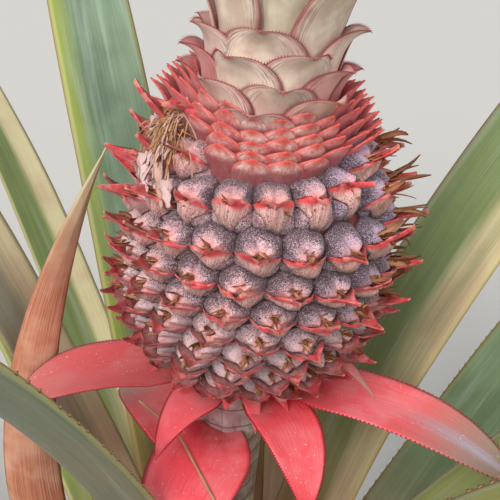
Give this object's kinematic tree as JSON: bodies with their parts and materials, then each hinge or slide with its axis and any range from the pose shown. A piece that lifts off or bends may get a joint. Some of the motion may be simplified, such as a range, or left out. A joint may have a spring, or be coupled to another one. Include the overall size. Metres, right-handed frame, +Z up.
{
  "type": "pineapple plant",
  "caption": "Pineapple plant rooted in the ground: strap leaves round a short stem, and a stalk that carries a young fruit with red bracts and a tuft of crown leaves.",
  "frame": {"origin": "middle of the flat cut under the stem, at ground level", "axes": "+Z straight up out of the ground; -Y is the open side from which the fruit shows best, and the fruit leans towards +X"},
  "size_m": [1.5576, 1.5564, 0.7433],
  "materials": {
    "stem_bark": "matt, ringed with old leaf scars",
    "stalk_skin": "matt with a pale bloom",
    "leaf_green": "satin with a grey bloom and fine lengthwise lines",
    "leaf_dry": "matt, papery",
    "bract_red": "satin with fine lengthwise lines",
    "berry_skin": "satin, domed and speckled, with red bract tips",
    "crown_scale": "satin, pale in the middle with red edges",
    "crown_leaf_pale": "satin with a pale bloom and red toothed edges"
  },
  "bodies": {
    "root": {"stem": "stem_bark", "leaf_01": "leaf_green", "leaf_02": "leaf_green", "leaf_03": "leaf_green", "leaf_04": "leaf_green", "leaf_05": "leaf_green", "leaf_06": "leaf_green", "leaf_07": "leaf_green", "leaf_08": "leaf_green", "leaf_09": "leaf_green", "leaf_10": "leaf_green", "leaf_11": "leaf_green", "leaf_12": "leaf_green", "leaf_13": "leaf_green", "leaf_14": "leaf_green", "leaf_15": "leaf_green", "leaf_16": "leaf_green", "leaf_17": "leaf_green", "leaf_18": "leaf_green", "leaf_19": "leaf_green", "leaf_20": "leaf_green", "leaf_21": "leaf_green", "leaf_22": "leaf_green", "leaf_23": "leaf_green", "leaf_24": "leaf_green", "leaf_25": "leaf_green", "leaf_26": "leaf_green", "dry_leaf": "leaf_dry", "stalk": "stalk_skin", "bract_01": "bract_red", "bract_02": "bract_red", "bract_03": "bract_red", "bract_04": "bract_red", "bract_05": "bract_red", "bract_06": "bract_red", "bract_07": "bract_red", "bract_08": "bract_red", "bract_09": "bract_red", "bract_10": "bract_red", "bract_11": "bract_red", "bract_12": "bract_red", "fruit": "berry_skin", "crown_base": "crown_scale", "crown_heart": "crown_leaf_pale", "crown_leaf_01": "crown_leaf_pale", "crown_leaf_02": "crown_leaf_pale", "crown_leaf_03": "crown_leaf_pale", "crown_leaf_04": "crown_leaf_pale", "crown_leaf_05": "crown_leaf_pale", "crown_leaf_06": "crown_leaf_pale", "crown_leaf_07": "crown_leaf_pale", "crown_leaf_08": "crown_leaf_pale", "crown_leaf_09": "crown_leaf_pale", "crown_leaf_10": "crown_leaf_pale", "crown_leaf_11": "crown_leaf_pale", "crown_leaf_12": "crown_leaf_pale"}
  },
  "joints": []
}
